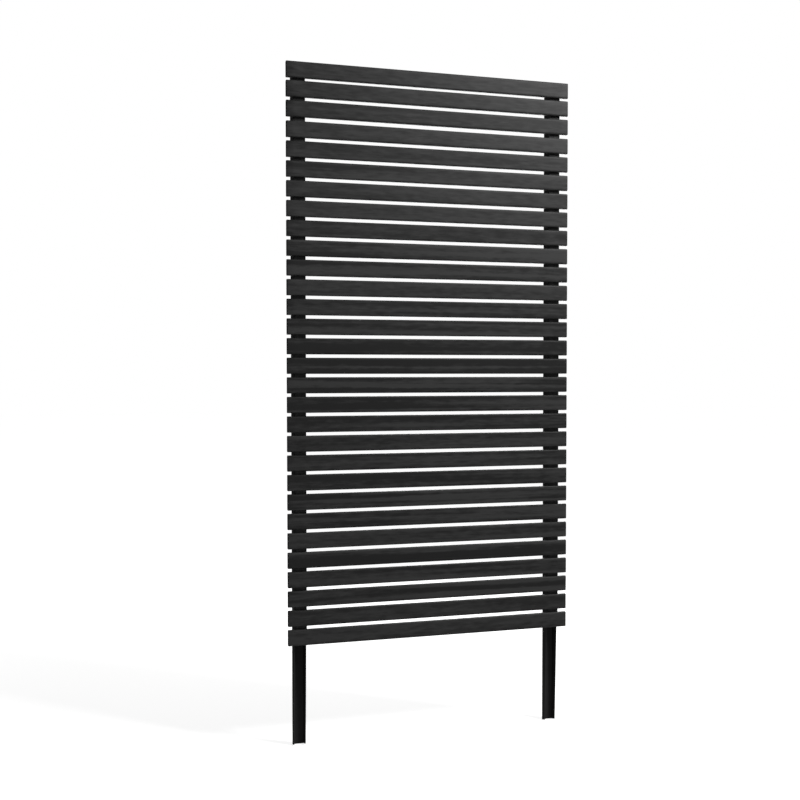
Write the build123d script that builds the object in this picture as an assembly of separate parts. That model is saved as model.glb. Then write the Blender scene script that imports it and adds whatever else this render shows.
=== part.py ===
from build123d import *
import os

# Privacy screen of wooden slats on two folded steel posts.
# Millimetres. The origin is on the ground under the middle of the screen: +X along the slats,
# +Y towards the back, +Z up. The slats face -Y.

# Slats
slat_count = 30
slat_length = 900.0
slat_height = 47.5
slat_thickness = 14.0
slat_edge_radius = 4.5
slat_gap = 9.5
high_slats = (2, 3)
high_slat_rise = 2.0

# Posts: U-channels folded from sheet, with the open side to the slats
post_width = 36.5
post_depth = 38.0
post_wall = 2.0
post_inner_radius = 1.5
post_inset = 22.0
post_top_drop = 6.0

# Legs: the posts below the lowest slat, with their side walls cut back
leg_length = 304.0
leg_wall_depth_top = 31.0
leg_wall_depth_foot = 20.5
leg_step_rise = 8.0
leg_step_radius = 4.0
foot_rake_rise = 3.0
foot_corner_radius = 2.0

# Battens: wooden strips that fill the channels behind the slats
batten_side_clearance = 0.2
batten_edge_chamfer = 2.0
batten_end_rise = 12.0

# Screws through the outer walls of the posts into the battens
screws_per_post = 3
screw_end_distance = 90.0
screw_radius = 2.0
screw_bite = 18.0
screw_point_length = 3.0
screw_head_radius = 4.0
screw_head_top_radius = 3.0
screw_head_height = 2.4
wall_hole_clearance = 0.25
pilot_hole_clearance = 0.05

# Places worked out from the sizes above
slat_pitch = slat_height + slat_gap
screen_top = leg_length + slat_count * slat_pitch - slat_gap
front_y = -(slat_thickness + post_depth) / 2
joint_y = front_y + slat_thickness
back_y = joint_y + post_depth
web_inside_y = back_y - post_wall
post_top = screen_top - post_top_drop
post_x = slat_length / 2 - post_inset - post_width / 2
wall_inside_x = post_width / 2 - post_wall
post_outer_radius = post_inner_radius + post_wall
batten_bottom = leg_length + batten_end_rise
batten_width = 2 * (wall_inside_x - batten_side_clearance)
screw_y = (joint_y + web_inside_y) / 2


def slat(number):
    """One slat, counted from the top: a rounded section carried along X."""
    rise = high_slat_rise if number in high_slats else 0.0
    middle = leg_length + (slat_count - number) * slat_pitch + slat_height / 2 + rise
    radius = min(slat_edge_radius, 0.45 * slat_thickness, 0.45 * slat_height)
    section = RectangleRounded(slat_thickness, slat_height, radius)
    place = Plane(origin=(0, front_y + slat_thickness / 2, middle), x_dir=(0, 1, 0), z_dir=(1, 0, 0))
    return extrude(place * section, slat_length / 2, both=True)


def screw_planes(x):
    """One plane for each screw of the post at x: origin on the outer wall, normal out of it."""
    side = 1 if x > 0 else -1
    low = batten_bottom + screw_end_distance
    high = post_top - screw_end_distance
    planes = []
    for row in range(screws_per_post):
        height = low + (high - low) * row / (screws_per_post - 1)
        origin = (x + side * post_width / 2, screw_y, height)
        planes.append(Plane(origin=origin, x_dir=(0, 1, 0), z_dir=(side, 0, 0)))
    return planes


def leg_cut():
    """Side view of what is cut from the channel's walls below the slats, out to past its front."""
    past = post_depth
    step_z = leg_length + leg_step_rise
    step = (back_y - leg_wall_depth_top, step_z)
    toe = (back_y - leg_wall_depth_foot, foot_rake_rise)
    heel = (web_inside_y, 0.0)
    outline = Polyline(
        (joint_y - past, step_z), step, toe, heel, (web_inside_y, -past), (joint_y - past, -past), close=True
    )
    face = make_face(outline)
    step_corner = face.vertices().sort_by_distance((*step, 0))[0]
    face = fillet(step_corner, leg_step_radius)
    toe_corner = face.vertices().sort_by_distance((*toe, 0))[0]
    return fillet(toe_corner, foot_corner_radius)


def post(x):
    """A folded U-channel, its walls stepped back and tapered on the leg, with holes for the screws."""
    middle_y = (joint_y + back_y) / 2
    outside = Pos(x, middle_y) * Rectangle(post_width, post_depth)
    outside = fillet(outside.vertices().group_by(Axis.Y)[-1], post_outer_radius)
    inside = Pos(x, middle_y - post_wall) * Rectangle(2 * wall_inside_x, post_depth)
    inside = fillet(inside.vertices().group_by(Axis.Y)[-1], post_inner_radius)
    channel = extrude(outside - inside, post_top)
    side_view = Plane(origin=(x, 0, 0), x_dir=(0, 1, 0), z_dir=(1, 0, 0))
    channel -= extrude(side_view * leg_cut(), post_width, both=True)
    hole_radius = screw_radius + wall_hole_clearance
    for plane in screw_planes(x):
        channel -= plane * Cylinder(hole_radius, 2 * (post_wall + batten_side_clearance))
    return channel


def batten(x):
    """A wooden strip seated on the web, its back edges chamfered to clear the folds, with pilot holes."""
    depth = web_inside_y - joint_y
    length = post_top - batten_bottom
    strip = Pos(x, joint_y + depth / 2, batten_bottom + length / 2) * Box(batten_width, depth, length)
    back_edges = strip.edges().filter_by(Axis.Z).group_by(Axis.Y)[-1]
    strip = chamfer(back_edges, batten_edge_chamfer)
    reach = post_wall + screw_bite
    pilot_radius = screw_radius + pilot_hole_clearance
    for plane in screw_planes(x):
        strip -= plane * Pos(0, 0, -reach / 2) * Cylinder(pilot_radius, reach)
    return strip


def pan_head_screw():
    """A pan-head screw turned about Z: head above the origin, shank and point below it."""
    tip = -(post_wall + screw_bite)
    outline = Polyline(
        (0, screw_head_height),
        (screw_head_top_radius, screw_head_height),
        (screw_head_radius, 0),
        (screw_radius, 0),
        (screw_radius, tip + screw_point_length),
        (0, tip),
        close=True,
    )
    return revolve(Plane.XZ * make_face(outline), Axis.Z)


def post_screws(x):
    """The screws of the post at x, as separate solids."""
    screw = pan_head_screw()
    return Compound(children=[plane * screw for plane in screw_planes(x)])


def build():
    """Every piece of the screen by name."""
    pieces = {f"slat_{number:02d}": slat(number) for number in range(1, slat_count + 1)}
    for name, x in (("left", -post_x), ("right", post_x)):
        pieces[f"{name}_post"] = post(x)
        pieces[f"{name}_batten"] = batten(x)
        pieces[f"{name}_post_screws"] = post_screws(x)
    return pieces


os.makedirs("parts", exist_ok=True)
for name, piece in build().items():
    export_step(piece, f"parts/{name}.step")
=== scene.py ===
"""A wooden privacy screen: black-stained slats on two folded steel posts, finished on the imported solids."""

import math

import bpy
import numpy as np
from bpy.props import FloatProperty, FloatVectorProperty, IntProperty, PointerProperty
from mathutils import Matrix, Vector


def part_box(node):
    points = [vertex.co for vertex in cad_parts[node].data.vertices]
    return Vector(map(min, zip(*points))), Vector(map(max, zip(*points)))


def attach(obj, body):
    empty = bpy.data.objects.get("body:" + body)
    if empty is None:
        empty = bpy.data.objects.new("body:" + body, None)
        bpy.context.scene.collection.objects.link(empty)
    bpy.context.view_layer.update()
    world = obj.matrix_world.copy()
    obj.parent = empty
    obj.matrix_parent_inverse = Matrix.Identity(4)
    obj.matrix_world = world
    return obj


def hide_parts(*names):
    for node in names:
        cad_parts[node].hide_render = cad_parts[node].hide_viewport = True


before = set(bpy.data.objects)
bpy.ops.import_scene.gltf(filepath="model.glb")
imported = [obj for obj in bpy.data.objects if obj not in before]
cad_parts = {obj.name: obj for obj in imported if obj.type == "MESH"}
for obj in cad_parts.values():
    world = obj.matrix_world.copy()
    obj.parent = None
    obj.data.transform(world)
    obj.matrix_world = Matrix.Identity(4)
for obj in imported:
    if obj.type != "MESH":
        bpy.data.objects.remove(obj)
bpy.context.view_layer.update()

bl_info = {
    "name": "Slatted privacy screen",
    "version": (1, 0, 0),
    "blender": (4, 5, 0),
    "location": "View3D > Sidebar > Privacy screen",
    "description": "Finishes a slatted privacy screen around its packed solids",
    "category": "Object",
}

MM = 0.001
BODY = "root"
SIDES = ("left", "right")
SLAT_NODES = sorted(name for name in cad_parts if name.startswith("slat_"))
SCREWS_PER_POST = 3

# Wood
WAVE_PERIOD = math.tau / 20.0        # a wave texture at scale 1 repeats after this length
FIGURE_WEIGHT = 0.9        # how strongly the bands of late wood show on a usual board
FIBRE_WEIGHT = 0.48
THREAD_WEIGHT = 0.28
STAIN_SPAN = (0.715, 0.965)        # values of the pattern that take the dark and the light stain
PATTERN_SPAN = (0.6, 1.04)        # usual least and greatest value of the pattern
PLANED_ROUGHNESS = (0.45, 0.47)
PLANED_SHEEN = 0.09
SAWN_ROUGHNESS = 0.95
SAWN_SHEEN = 0.02
SAWN_FACING = (0.6, 0.9)        # turn along the grain where planed wood ends and sawn wood begins
RING_WANDER = 0.8        # how far the growth rings stray from circles
GRAIN_BUMP = 0.15
GRAIN_RELIEF = 0.25 * MM

# Choice of boards
TONE_SPREAD = 0.07        # how far a board's tone may be from the usual one
FIGURE_SPREAD = (0.3, 1.7)        # least and greatest strength of figure, as a share of the usual one
CALM_SLATS = (0, 14)        # over these slats, counted from the top, the figure grows
CALM_FIGURE = (0.2, 1.3)        # its strength at the first and at the last of them
LOG_LOW = (-3.0, 0.02, -0.05)        # least place of a board's middle, along the log and off its pith
LOG_HIGH = (3.0, 0.09, 0.05)

# Slat surface
EDGE_STEPS = 6
FACE_STEPS = 10
EASING_ROWS = 4        # rows of the rounding at an end, with the first row of the straight run
LENGTH_ROWS = 41
LONG_WAVES = (0.43, 0.19)        # lengths of the planing waves along the board, in metres
CROSS_WAVES = (0.031, 0.017)        # and across it

# Steel
CLOUD_SIZE = 180.0 * MM
COAT_SPAN = (0.35, 0.75)        # values of the clouds that take the full and the thin coat
COAT_ROUGHNESS = (0.88, 0.96)
PEEL_BUMP = 0.12
PEEL_RELIEF = 0.1 * MM
BLOTCH_SIZE = 3.0 * MM
SCREW_METALLIC = 0.85
SCREW_ROUGHNESS = (0.35, 0.6)

# Screw surface
TURN_STEPS = 48
DOME_ROWS = 17
RIM_ROWS = 7
DOME_SHARE = 0.72        # the dome's share of the head's radius
DOME_FALL = 0.12        # how far the dome falls, as a share of the head's height
POINT_LENGTH = 3.0 * MM
CROSS_REACH = 0.62        # the drive cross's share of the head's radius
CROSS_FADE = 0.12        # the share of that radius over which its arms run out
CROSS_LEAN = 0.5        # the share of an arm's half width over which its walls lean

# Stage
LIT_FLOOR = (1.2, 4.5)        # distances from the object, in metres, between which the floor's lift grows
FLOOR_LIFT = (0.72, 0.92)
FAR_CLIP = 200.0
# Each lamp's name, its place, the place it faces, and its side, in metres
LAMPS = (
    ("key", (1.75, -2.0, 3.1), (0.35, 0.0, 1.9), 1.1),
    ("back", (1.5, 2.6, 1.5), (0.0, 0.0, 1.2), 1.6),
    ("side", (-3.2, 0.9, 1.3), (-0.45, 0.0, 1.1), 2.0),
    ("fill", (-1.0, -3.4, 0.5), (-0.4, 0.0, 0.2), 1.2),
)


def linear(hex_colour):
    """An sRGB hex colour as linear red, green and blue."""
    srgb = np.array([int(hex_colour[i : i + 2], 16) for i in (1, 3, 5)]) / 255.0
    low = srgb / 12.92
    high = ((srgb + 0.055) / 1.055) ** 2.4
    return tuple(float(value) for value in np.where(srgb <= 0.04045, low, high))


def length_property(name, description, millimetres):
    """A length setting whose default is given in millimetres."""
    return FloatProperty(
        name=name, description=description, default=millimetres * MM, min=0.0,
        subtype="DISTANCE", unit="LENGTH",
    )


def colour_property(name, description, hex_colour):
    """A colour setting whose default is given as an sRGB hex value."""
    return FloatVectorProperty(
        name=name, description=description, default=linear(hex_colour), size=3, min=0.0, max=1.0,
        subtype="COLOR",
    )


def power_property(name, description, watts):
    """A lamp's power."""
    return FloatProperty(name=name, description=description, default=watts, min=0.0, unit="POWER")


class SlatSettings(bpy.types.PropertyGroup):
    """Form and stain of the slats."""

    edge_radius: length_property("Edge radius", "Rounding of the long edges", 4.5)
    end_easing: length_property("End easing", "Rounding of the sawn ends", 0.8)
    unevenness: length_property("Unevenness", "Depth of the low waves that planing leaves on the face", 0.12)
    dark_stain: colour_property("Dark stain", "Stain where the wood drinks most of it", "#131313")
    light_stain: colour_property("Light stain", "Stain on the hard late wood", "#292929")
    end_stain: colour_property("End stain", "Stain on the sawn ends", "#181818")
    ring_stain: colour_property("Ring stain", "Stain on the growth rings of the sawn ends", "#242424")
    ring_width: length_property("Ring width", "Width of a growth ring, drawn coarse enough to show", 5.0)
    figure_width: length_property("Figure width", "Width of the long bands of late wood on the face", 18.0)
    figure_length: length_property("Figure length", "Length of the bands of late wood", 1000.0)
    fibre_width: length_property("Fibre width", "Width of the fibre streaks, coarse enough to show", 9.0)
    fibre_length: length_property("Fibre length", "Length of the fibre streaks", 40.0)
    thread_width: length_property("Thread width", "Width of the fine threads that show close up", 1.6)
    thread_length: length_property("Thread length", "Length of the fine threads", 30.0)
    seed: IntProperty(name="Seed", description="Chooses the boards", default=5, min=0)
    figure_seed: IntProperty(
        name="Figure seed", description="Chooses how plain each board is", default=2, min=0
    )


class SteelSettings(bpy.types.PropertyGroup):
    """Finish of the posts and their screws."""

    coat: colour_property("Powder coat", "Colour of the posts", "#272727")
    thin_coat: colour_property("Thin coat", "Colour where the coat lies thinner", "#2e2e2e")
    peel_size: length_property("Orange peel", "Size of the coat's dimples, drawn coarse enough to show", 5.0)
    screw_black: colour_property("Screw black", "Colour of the blackened screws", "#292929")
    head_height: length_property("Head height", "Height of a screw head over the post's wall", 2.4)
    shank_radius: length_property("Shank radius", "Radius of a screw's shank", 2.0)
    recess_width: length_property("Recess width", "Width of the drive cross in a screw head", 1.1)
    recess_depth: length_property("Recess depth", "Depth of the drive cross", 1.3)


class StageSettings(bpy.types.PropertyGroup):
    """Floor, light and camera."""

    floor_colour: colour_property("Floor", "Colour of the pale floor", "#c8c8c8")
    floor_size: length_property("Floor size", "Side of the square floor", 60000.0)
    camera_place: FloatVectorProperty(
        name="Camera", description="Where the camera stands", default=(-1.3570, -3.6034, 1.1011), size=3,
        subtype="TRANSLATION", unit="LENGTH",
    )
    camera_turn: FloatVectorProperty(
        name="Camera turn", description="Pitch, roll and heading of the camera",
        default=(math.radians(87.8274), math.radians(0.0447), math.radians(-19.2918)), size=3,
        subtype="EULER", unit="ROTATION",
    )
    lens: FloatProperty(
        name="Lens", description="Focal length in millimetres", default=56.943, min=1.0, unit="CAMERA"
    )
    shift_up: FloatProperty(name="Rise", description="Rise of the view, in frame heights", default=0.02773)
    key_power: power_property("Key", "Power of the soft key light", 165.0)
    back_power: power_property("Back", "Power of the light behind", 60.0)
    side_power: power_property("Side", "Power of the light at the left", 16.0)
    fill_power: power_property("Fill", "Power of the low fill light", 11.0)
    sky: FloatProperty(
        name="Sky", description="Strength of the even light from all round", default=0.14, min=0.0
    )


def settings():
    """The scene's settings for slats, steel and stage."""
    scene = bpy.context.scene
    return scene.screen_slats, scene.screen_steel, scene.screen_stage


# Materials

def add(tree, kind, inputs=None, **values):
    """Adds a node with its settings; each input is a value to set or an output to link."""
    node = tree.nodes.new(kind)
    for name, value in values.items():
        setattr(node, name, value)
    for name, value in (inputs or {}).items():
        if isinstance(value, bpy.types.NodeSocket):
            tree.links.new(value, node.inputs[name])
        else:
            node.inputs[name].default_value = value
    return node


def new_material(name):
    """An empty node material and its tree."""
    material = bpy.data.materials.new(name)
    material.use_nodes = True
    material.node_tree.nodes.clear()
    return material, material.node_tree


def growth_rings(tree, place, grain_axis):
    """The stain on sawn ends: rings round the grain's axis, lighter where the late wood drinks less of it."""
    slats, _, _ = settings()
    rings = add(
        tree, "ShaderNodeTexWave",
        {"Vector": place, "Scale": WAVE_PERIOD / slats.ring_width, "Distortion": RING_WANDER},
        wave_type="RINGS", rings_direction=grain_axis,
    ).outputs["Fac"]
    # A mix of colours has its factor at 0, its two colours at 6 and 7 and its result at 2.
    stains = {0: rings, 6: (*slats.end_stain, 1.0), 7: (*slats.ring_stain, 1.0)}
    return add(tree, "ShaderNodeMix", stains, data_type="RGBA").outputs[2]


def end_grain():
    """Sawn spruce ends under black stain: dull and matt, as open fibres drink the stain, with faint rings."""
    material, tree = new_material("black_stained_end_grain")
    place = add(tree, "ShaderNodeAttribute", attribute_name="log_place").outputs["Vector"]
    shader = add(
        tree, "ShaderNodeBsdfPrincipled",
        {
            "Base Color": growth_rings(tree, place, "X"),
            "Roughness": SAWN_ROUGHNESS,
            "Specular IOR Level": SAWN_SHEEN,
        },
    )
    add(tree, "ShaderNodeOutputMaterial", {"Surface": shader.outputs["BSDF"]})
    return material


def stained_wood(name, grain_axis, in_log):
    """Planed spruce under black stain: near black, with faint long streaks, since the soft early wood drinks
    more stain than the hard late wood, an even satin sheen, boards that differ a little, and dark matt sawn
    ends with faint growth rings. A board that has its place in the log as an attribute takes its pattern and
    the strength of its figure from there."""
    slats, _, _ = settings()
    material, tree = new_material(name)
    if in_log:
        place = add(tree, "ShaderNodeAttribute", attribute_name="log_place").outputs["Vector"]
        figure = add(tree, "ShaderNodeAttribute", attribute_name="board_figure").outputs["Fac"]
    else:
        place = add(tree, "ShaderNodeTexCoord").outputs["Object"]
        figure = FIGURE_WEIGHT

    # Layers of noise drawn out along the board: long bands of late wood, fibre streaks, and threads that only
    # show close up. Each has a width, a length, a level of detail and the weight with which it is added to
    # the tone of the board.
    pattern = add(tree, "ShaderNodeAttribute", attribute_name="board_tone").outputs["Fac"]
    for width, length, detail, weight in (
        (slats.figure_width, slats.figure_length, 2.0, figure),
        (slats.fibre_width, slats.fibre_length, 3.0, FIBRE_WEIGHT),
        (slats.thread_width, slats.thread_length, 2.0, THREAD_WEIGHT),
    ):
        across = 1.0 / width
        along = 1.0 / length
        scale = (along, across, across) if grain_axis == "X" else (across, across, along)
        drawn = add(tree, "ShaderNodeMapping", {"Vector": place, "Scale": scale}).outputs["Vector"]
        noise = add(tree, "ShaderNodeTexNoise", {"Vector": drawn, "Scale": 1.0, "Detail": detail})
        layer = {0: noise.outputs["Fac"], 1: weight, 2: pattern}
        pattern = add(tree, "ShaderNodeMath", layer, operation="MULTIPLY_ADD").outputs[0]
    ramp = add(tree, "ShaderNodeValToRGB", {"Fac": pattern})
    dark, light = ramp.color_ramp.elements
    dark.position, light.position = STAIN_SPAN
    dark.color = (*slats.dark_stain, 1.0)
    light.color = (*slats.light_stain, 1.0)

    # Sawn ends face along the grain.
    normal = add(tree, "ShaderNodeNewGeometry").outputs["Normal"]
    parts = add(tree, "ShaderNodeSeparateXYZ", {"Vector": normal})
    facing = add(tree, "ShaderNodeMath", {0: parts.outputs[grain_axis]}, operation="ABSOLUTE").outputs[0]
    end = add(
        tree, "ShaderNodeMapRange",
        {"Value": facing, "From Min": SAWN_FACING[0], "From Max": SAWN_FACING[1]},
    ).outputs["Result"]
    stains = {0: end, 6: ramp.outputs["Color"], 7: growth_rings(tree, place, grain_axis)}
    colour = add(tree, "ShaderNodeMix", stains, data_type="RGBA").outputs[2]

    planed = add(
        tree, "ShaderNodeMapRange",
        {
            "Value": pattern, "From Min": PATTERN_SPAN[0], "From Max": PATTERN_SPAN[1],
            "To Min": PLANED_ROUGHNESS[0], "To Max": PLANED_ROUGHNESS[1],
        },
    ).outputs["Result"]
    # A mix of numbers has them at 2 and 3 and its result at 0.
    rough = add(tree, "ShaderNodeMix", {0: end, 2: planed, 3: SAWN_ROUGHNESS}).outputs[0]
    bump = add(
        tree, "ShaderNodeBump", {"Height": pattern, "Strength": GRAIN_BUMP, "Distance": GRAIN_RELIEF}
    ).outputs["Normal"]
    shader = add(
        tree, "ShaderNodeBsdfPrincipled",
        {"Base Color": colour, "Roughness": rough, "Normal": bump, "Specular IOR Level": PLANED_SHEEN},
    )
    add(tree, "ShaderNodeOutputMaterial", {"Surface": shader.outputs["BSDF"]})
    return material


def powder_coat():
    """Black powder coat baked on steel: an even, dull black with faint orange peel and cloudy patches."""
    _, steel, _ = settings()
    material, tree = new_material("black_powder_coat")
    place = add(tree, "ShaderNodeTexCoord").outputs["Object"]
    cloud = add(
        tree, "ShaderNodeTexNoise", {"Vector": place, "Scale": 1.0 / CLOUD_SIZE, "Detail": 3.0}
    ).outputs["Fac"]
    peel = add(
        tree, "ShaderNodeTexNoise", {"Vector": place, "Scale": 1.0 / steel.peel_size, "Detail": 1.0}
    ).outputs["Fac"]
    ramp = add(tree, "ShaderNodeValToRGB", {"Fac": cloud})
    full, thin = ramp.color_ramp.elements
    full.position, thin.position = COAT_SPAN
    full.color = (*steel.coat, 1.0)
    thin.color = (*steel.thin_coat, 1.0)
    rough = add(
        tree, "ShaderNodeMapRange",
        {"Value": cloud, "To Min": COAT_ROUGHNESS[0], "To Max": COAT_ROUGHNESS[1]},
    ).outputs["Result"]
    bump = add(
        tree, "ShaderNodeBump", {"Height": peel, "Strength": PEEL_BUMP, "Distance": PEEL_RELIEF}
    ).outputs["Normal"]
    shader = add(
        tree, "ShaderNodeBsdfPrincipled",
        {"Base Color": ramp.outputs["Color"], "Roughness": rough, "Normal": bump, "Specular IOR Level": 0.0},
    )
    add(tree, "ShaderNodeOutputMaterial", {"Surface": shader.outputs["BSDF"]})
    return material


def blackened_steel():
    """Screws blackened by phosphate: dark grey metal, dull, with a slightly blotched surface."""
    _, steel, _ = settings()
    material, tree = new_material("blackened_steel")
    place = add(tree, "ShaderNodeTexCoord").outputs["Object"]
    blotch = add(
        tree, "ShaderNodeTexNoise", {"Vector": place, "Scale": 1.0 / BLOTCH_SIZE, "Detail": 2.0}
    ).outputs["Fac"]
    rough = add(
        tree, "ShaderNodeMapRange",
        {"Value": blotch, "To Min": SCREW_ROUGHNESS[0], "To Max": SCREW_ROUGHNESS[1]},
    ).outputs["Result"]
    shader = add(
        tree, "ShaderNodeBsdfPrincipled",
        {"Base Color": (*steel.screw_black, 1.0), "Metallic": SCREW_METALLIC, "Roughness": rough},
    )
    add(tree, "ShaderNodeOutputMaterial", {"Surface": shader.outputs["BSDF"]})
    return material


def seen_as_white(tree):
    """One for camera, glossy and transmission rays, which see the surround as white, and zero for others."""
    path = add(tree, "ShaderNodeLightPath")
    seen = path.outputs["Is Camera Ray"]
    for ray in ("Is Glossy Ray", "Is Transmission Ray"):
        seen = add(tree, "ShaderNodeMath", {0: seen, 1: path.outputs[ray]}, operation="MAXIMUM").outputs[0]
    return seen


def pale_floor():
    """Matt white paper: lit as it is, and lifted to white for the camera and for reflections, shadow kept."""
    _, _, stage = settings()
    material, tree = new_material("white_paper_floor")
    paper = add(tree, "ShaderNodeBsdfDiffuse", {"Color": (*stage.floor_colour, 1.0)})
    # The lamps light the paper near the object, so less lift makes it white there, and the shadow shows.
    place = add(tree, "ShaderNodeTexCoord").outputs["Object"]
    away = add(tree, "ShaderNodeVectorMath", {0: place}, operation="LENGTH").outputs["Value"]
    lift = add(
        tree, "ShaderNodeMapRange",
        {
            "Value": away, "From Min": LIT_FLOOR[0], "From Max": LIT_FLOOR[1],
            "To Min": FLOOR_LIFT[0], "To Max": FLOOR_LIFT[1],
        },
        interpolation_type="SMOOTHSTEP",
    ).outputs["Result"]
    strength = add(
        tree, "ShaderNodeMath", {0: seen_as_white(tree), 1: lift}, operation="MULTIPLY"
    ).outputs[0]
    glow = add(tree, "ShaderNodeEmission", {"Strength": strength})
    both = add(tree, "ShaderNodeAddShader", {0: paper.outputs[0], 1: glow.outputs[0]})
    add(tree, "ShaderNodeOutputMaterial", {"Surface": both.outputs[0]})
    return material


# Shapes

def mesh_object(name, vertices, quads, fans, smooth_fans):
    """A mesh object at the origin from arrays of vertices, smooth quads, and triangles that close it."""
    mesh = bpy.data.meshes.new(name)
    mesh.from_pydata(vertices.tolist(), [], quads.tolist() + fans.tolist())
    smooth = np.concatenate([np.full(len(quads), True), np.full(len(fans), smooth_fans)])
    mesh.polygons.foreach_set("use_smooth", smooth)
    mesh.update()
    piece = bpy.data.objects.new(name, mesh)
    bpy.context.scene.collection.objects.link(piece)
    return piece


def tube_faces(rows, columns):
    """Quads between neighbouring rings of a tube, and fans from the two end vertices listed after them."""
    step = np.arange(columns)
    after = (step + 1) % columns
    start = np.arange(rows - 1)[:, None] * columns
    quads = np.stack([start + step, start + after, start + columns + after, start + columns + step], -1)
    last = (rows - 1) * columns
    first_fan = np.stack([np.full(columns, rows * columns), after, step], -1)
    last_fan = np.stack([np.full(columns, rows * columns + 1), last + step, last + after], -1)
    return quads.reshape(-1, 4), np.concatenate([first_fan, last_fan])


def rounded_section(half_depth, half_height, radius):
    """Rounded rectangle in (y, z), counter-clockwise seen from +X, and its outward normals.

    Each corner is a quarter circle about its centre. A flat run leads to the next corner, cut into FACE_STEPS
    on the two faces of the board and in half on its two edges.
    """
    centre_y = half_depth - radius
    centre_z = half_height - radius
    points, normals = [], []
    for corner, (sign_y, sign_z) in enumerate(((1, 1), (-1, 1), (-1, -1), (1, -1))):
        angle = (corner + np.linspace(0.0, 1.0, EDGE_STEPS + 1)) * math.pi / 2
        outward = np.stack([np.cos(angle), np.sin(angle)], -1)
        centre = np.array([sign_y * centre_y, sign_z * centre_z])
        points.append(centre + radius * outward)
        normals.append(outward)
        steps = FACE_STEPS if corner % 2 else 2
        ahead = np.array([-outward[-1][1], outward[-1][0]])
        run = 2 * (centre_z if corner % 2 else centre_y)
        inner = np.linspace(0.0, 1.0, steps + 1)[1:-1, None]
        points.append(points[-1][-1] + inner * run * ahead)
        normals.append(np.repeat(outward[-1][None], len(inner), 0))
    return np.concatenate(points), np.concatenate(normals)


def slat_surface(size, slats, boards):
    """One slat about its middle as a closed surface of (length, section).

    The section is a rounded rectangle. Near each end it is drawn in by easing - sqrt(easing^2 - s^2), where s
    is the distance from the start of the easing, which rounds the sawn edge. The face has low waves, the sum
    of four sines, that only cut into the board and fade out round its long edges.
    """
    ring, normal = rounded_section(size[1] / 2, size[2] / 2, slats.edge_radius)
    easing = slats.end_easing
    eased = easing * (1 - np.cos(np.linspace(0.0, math.pi / 2, EASING_ROWS)))[:-1]
    inner = np.linspace(easing, size[0] - easing, LENGTH_ROWS)
    along = np.concatenate([eased, inner, (size[0] - eased)[::-1]])
    depth = np.clip(easing - np.minimum(along, size[0] - along), 0.0, None)
    inset = easing - np.sqrt(np.clip(easing**2 - depth**2, 0.0, None))
    section = ring[None] - inset[:, None, None] * normal[None]

    # Six phases are drawn for each board, and the waves take the first four.
    phase = boards.uniform(0.0, math.tau, 6)
    turns = along[:, None] * math.tau
    across = ring[None, :, 1] * math.tau
    long_waves = np.sin(turns / LONG_WAVES[0] + phase[0]) + np.sin(turns / LONG_WAVES[1] + phase[1])
    cross_waves = np.sin(across / CROSS_WAVES[0] + phase[2]) + np.sin(across / CROSS_WAVES[1] + phase[3])
    # The four sines add up to between -4 and 4, which becomes a cut of 0 to 1.
    wave = 0.5 + 0.125 * (long_waves + cross_waves)
    front = np.clip(-normal[:, 0], 0.0, 1.0) ** 4
    section[:, :, 0] += slats.unevenness * wave * front[None]

    count = len(ring)
    vertices = np.empty((len(along), count, 3))
    vertices[:, :, 0] = along[:, None] - size[0] / 2
    vertices[:, :, 1:] = section
    ends = [[-size[0] / 2, 0.0, 0.0], [size[0] / 2, 0.0, 0.0]]
    vertices = np.concatenate([vertices.reshape(-1, 3), ends])
    return vertices, *tube_faces(len(along), count)


def screw_surface(side, head, steel):
    """One pan head screw along X as a closed surface of (profile, turn), its head on the side of the sign
    given and its seat at the origin.

    The profile (distance along, radius) runs from the top of the head, a shallow dome rounded into the rim,
    to the shank and its point. The head's dome is pressed in by a cross: its depth times a ramp in the
    distance from either arm's middle line, faded out towards the rim.
    """
    rim, height, shank, reach = head
    dome = np.linspace(0.0, 1.0, DOME_ROWS)
    arc = np.linspace(0.0, math.pi / 2, RIM_ROWS)[1:]
    flat = DOME_SHARE * rim
    radius = np.concatenate([flat * dome, flat + (rim - flat) * np.sin(arc), [shank, shank, 0.0]])
    drop = DOME_FALL * height
    along = np.concatenate([
        height - drop * dome**2, (height - drop) * np.cos(arc), [0.0, POINT_LENGTH - reach, -reach],
    ])
    turn = np.linspace(0.0, math.tau, TURN_STEPS + 1)[:-1]
    y = radius[:, None] * np.cos(turn)
    z = radius[:, None] * np.sin(turn)
    half = steel.recess_width / 2
    off_line = np.minimum(np.abs(y), np.abs(z))
    arm = np.clip((half * (1.0 + CROSS_LEAN / 2) - off_line) / (half * CROSS_LEAN), 0.0, 1.0)
    fade = np.clip((CROSS_REACH * rim - np.hypot(y, z)) / (CROSS_FADE * rim), 0.0, 1.0)
    press = steel.recess_depth * arm * fade * (np.arange(len(radius)) < len(dome))[:, None]
    x = side * (along[:, None] - press)
    rings = np.stack([x, y, z], -1)[1:-1]
    ends = np.array([[x[0, 0], 0.0, 0.0], [x[-1, 0], 0.0, 0.0]])
    vertices = np.concatenate([rings.reshape(-1, 3), ends])
    quads, fans = tube_faces(len(rings), len(turn))
    return vertices, quads[:, ::-side], fans[:, ::-side]


def board_attributes(piece, tone, figure, log_place):
    """Gives every point of a board the board's tone and strength of figure, and its own place in the log,
    whose pith is the X axis."""
    for name, value in (("board_tone", tone), ("board_figure", figure)):
        values = np.full(len(log_place), value)
        piece.data.attributes.new(name, "FLOAT", "POINT").data.foreach_set("value", values)
    places = piece.data.attributes.new("log_place", "FLOAT_VECTOR", "POINT").data
    places.foreach_set("vector", log_place.ravel())


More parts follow.
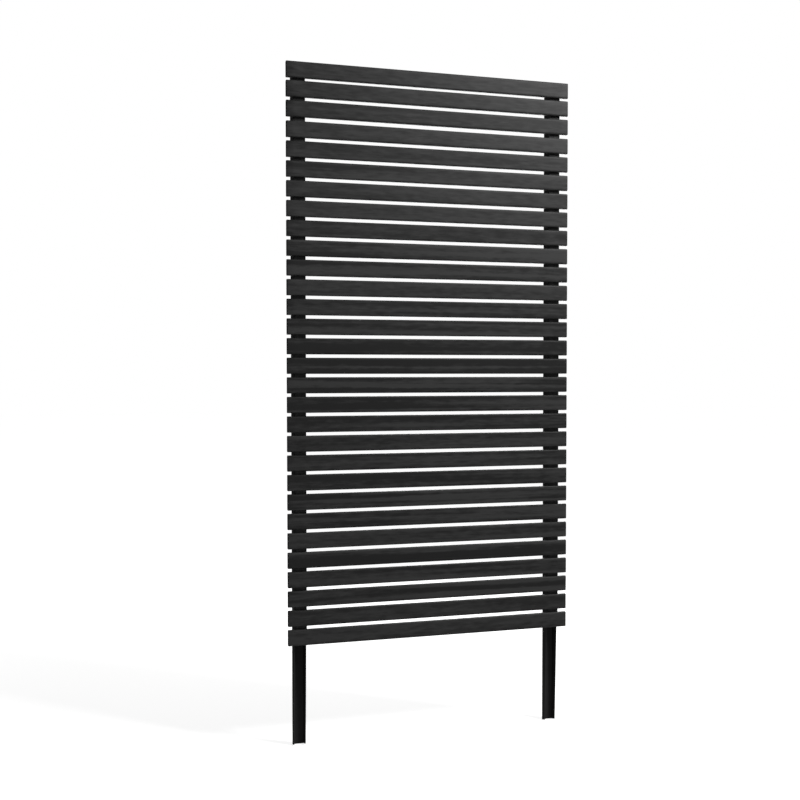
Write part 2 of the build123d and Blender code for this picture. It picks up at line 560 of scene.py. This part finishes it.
def finish_pair(kind, material):
    """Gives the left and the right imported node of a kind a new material, and changes nothing else of them."""
    for side in SIDES:
        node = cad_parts[f"{side}_{kind}"]
        node.data.materials.clear()
        node.data.materials.append(material)


class SCREEN_OT_slats(bpy.types.Operator):
    """Builds every slat with rounded long edges, eased ends and its own board"""

    bl_idname = "privacy_screen.slats"
    bl_label = "Slats"

    def execute(self, context):
        slats, _, _ = settings()
        boards = np.random.default_rng(slats.seed)
        planed = stained_wood("black_stained_spruce", "X", in_log=True)
        sawn = end_grain()
        # Some boards are plain and some have strong bands, and the plainer ones are higher up.
        count = len(SLAT_NODES)
        calm = np.interp(np.arange(count), CALM_SLATS, CALM_FIGURE)
        spread = np.random.default_rng(slats.figure_seed).uniform(*FIGURE_SPREAD, count)
        for node, figure in zip(SLAT_NODES, FIGURE_WEIGHT * calm * spread):
            low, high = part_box(node)
            vertices, quads, fans = slat_surface(np.subtract(high, low), slats, boards)
            middle = np.add(low, high) / 2
            piece = mesh_object(f"{node}_board", vertices + middle, quads, fans, smooth_fans=False)
            # The middle value of the bands is a half, so a change of their strength is taken off the tone.
            tone = boards.uniform(-TONE_SPREAD, TONE_SPREAD) + (FIGURE_WEIGHT - figure) / 2
            sawn_from = boards.uniform(LOG_LOW, LOG_HIGH)
            board_attributes(piece, tone, figure, vertices + sawn_from)
            piece.data.materials.append(planed)
            piece.data.materials.append(sawn)
            finish = np.repeat((0, 1), (len(quads), len(fans)))
            piece.data.polygons.foreach_set("material_index", finish)
            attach(piece, BODY)
            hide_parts(node)
        return {"FINISHED"}


class SCREEN_OT_battens(bpy.types.Operator):
    """Stains the battens inside the posts, with the grain upright"""

    bl_idname = "privacy_screen.battens"
    bl_label = "Battens"

    def execute(self, context):
        finish_pair("batten", stained_wood("black_stained_batten", "Z", in_log=False))
        return {"FINISHED"}


class SCREEN_OT_posts(bpy.types.Operator):
    """Powder coats the two folded posts"""

    bl_idname = "privacy_screen.posts"
    bl_label = "Posts"

    def execute(self, context):
        finish_pair("post", powder_coat())
        return {"FINISHED"}


class SCREEN_OT_screws(bpy.types.Operator):
    """Turns the pan head screws in the posts' outer walls, each with its drive cross"""

    bl_idname = "privacy_screen.screws"
    bl_label = "Post screws"

    def execute(self, context):
        _, steel, _ = settings()
        material = blackened_steel()
        for side, sign in zip(SIDES, (-1, 1)):
            node = f"{side}_post_screws"
            low, high = (np.array(corner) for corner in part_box(node))
            rim = (high[1] - low[1]) / 2
            seat = sign * (max(abs(low[0]), abs(high[0])) - steel.head_height)
            head = (rim, steel.head_height, steel.shank_radius, high[0] - low[0] - steel.head_height)
            places = np.full((SCREWS_PER_POST, 3), (seat, (low[1] + high[1]) / 2, 0.0))
            places[:, 2] = np.linspace(low[2] + rim, high[2] - rim, SCREWS_PER_POST)
            points, quads, fans = screw_surface(sign, head, steel)
            vertices = (points + places[:, None]).reshape(-1, 3)
            first = (np.arange(SCREWS_PER_POST) * len(points))[:, None, None]
            quads = (quads + first).reshape(-1, 4)
            fans = (fans + first).reshape(-1, 3)
            piece = mesh_object(f"{side}_turned_screws", vertices, quads, fans, smooth_fans=True)
            piece.data.materials.append(material)
            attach(piece, BODY)
            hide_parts(node)
        return {"FINISHED"}


def soft_light(name, place, target, size, power):
    """A square area light at place that faces target."""
    lamp = bpy.data.lights.new(name, "AREA")
    lamp.shape = "SQUARE"
    lamp.size = size
    lamp.energy = power
    light = bpy.data.objects.new(name, lamp)
    light.location = place
    aim = np.subtract(target, place)
    tilt = math.atan2(math.hypot(aim[0], aim[1]), -aim[2])
    heading = math.atan2(-aim[0], aim[1])
    light.rotation_euler = (tilt, 0.0, heading)
    bpy.context.scene.collection.objects.link(light)


class SCREEN_OT_stage(bpy.types.Operator):
    """Lays the pale floor and sets the light, the white surround and the camera"""

    bl_idname = "privacy_screen.stage"
    bl_label = "Stage"

    def execute(self, context):
        _, _, stage = settings()
        scene = context.scene
        half = stage.floor_size / 2
        corners = np.array([[-half, -half, 0.0], [half, -half, 0.0], [half, half, 0.0], [-half, half, 0.0]])
        no_fans = np.empty((0, 3), int)
        floor = mesh_object("floor", corners, np.array([[0, 1, 2, 3]]), no_fans, smooth_fans=False)
        floor.data.materials.append(pale_floor())

        for name, place, target, size in LAMPS:
            soft_light(f"{name}_light", place, target, size, getattr(stage, f"{name}_power"))

        world = bpy.data.worlds.new("white_surround")
        world.use_nodes = True
        tree = world.node_tree
        tree.nodes.clear()
        strength = add(
            tree, "ShaderNodeMapRange", {"Value": seen_as_white(tree), "To Min": stage.sky, "To Max": 1.0}
        ).outputs["Result"]
        glow = add(tree, "ShaderNodeBackground", {"Color": (1.0, 1.0, 1.0, 1.0), "Strength": strength})
        add(tree, "ShaderNodeOutputWorld", {"Surface": glow.outputs[0]})
        scene.world = world

        lens = bpy.data.cameras.new("camera")
        lens.sensor_fit = "HORIZONTAL"
        lens.lens = stage.lens
        lens.shift_y = stage.shift_up
        lens.clip_end = FAR_CLIP
        camera = bpy.data.objects.new("camera", lens)
        camera.location = stage.camera_place
        camera.rotation_euler = stage.camera_turn
        scene.collection.objects.link(camera)
        scene.camera = camera
        scene.view_settings.view_transform = "Standard"
        return {"FINISHED"}


PIECES = (SCREEN_OT_slats, SCREEN_OT_battens, SCREEN_OT_posts, SCREEN_OT_screws, SCREEN_OT_stage)


class SCREEN_PT_panel(bpy.types.Panel):
    """Lists the pieces of the screen and their settings"""

    bl_idname = "SCREEN_PT_panel"
    bl_label = "Privacy screen"
    bl_space_type = "VIEW_3D"
    bl_region_type = "UI"
    bl_category = "Privacy screen"

    def draw(self, context):
        for piece in PIECES:
            self.layout.operator(piece.bl_idname)
        for group in settings():
            box = self.layout.box()
            for name in group.bl_rna.properties.keys():
                if name not in ("rna_type", "name"):
                    box.prop(group, name)


CLASSES = (SlatSettings, SteelSettings, StageSettings, *PIECES, SCREEN_PT_panel)
GROUPS = {"screen_slats": SlatSettings, "screen_steel": SteelSettings, "screen_stage": StageSettings}


def register():
    for cls in CLASSES:
        bpy.utils.register_class(cls)
    for name, group in GROUPS.items():
        setattr(bpy.types.Scene, name, PointerProperty(type=group))


def unregister():
    for name in GROUPS:
        delattr(bpy.types.Scene, name)
    for cls in reversed(CLASSES):
        bpy.utils.unregister_class(cls)


def main():
    register()
    bpy.ops.privacy_screen.slats()
    bpy.ops.privacy_screen.battens()
    bpy.ops.privacy_screen.posts()
    bpy.ops.privacy_screen.screws()
    bpy.ops.privacy_screen.stage()


if __name__ == "__main__":
    main()
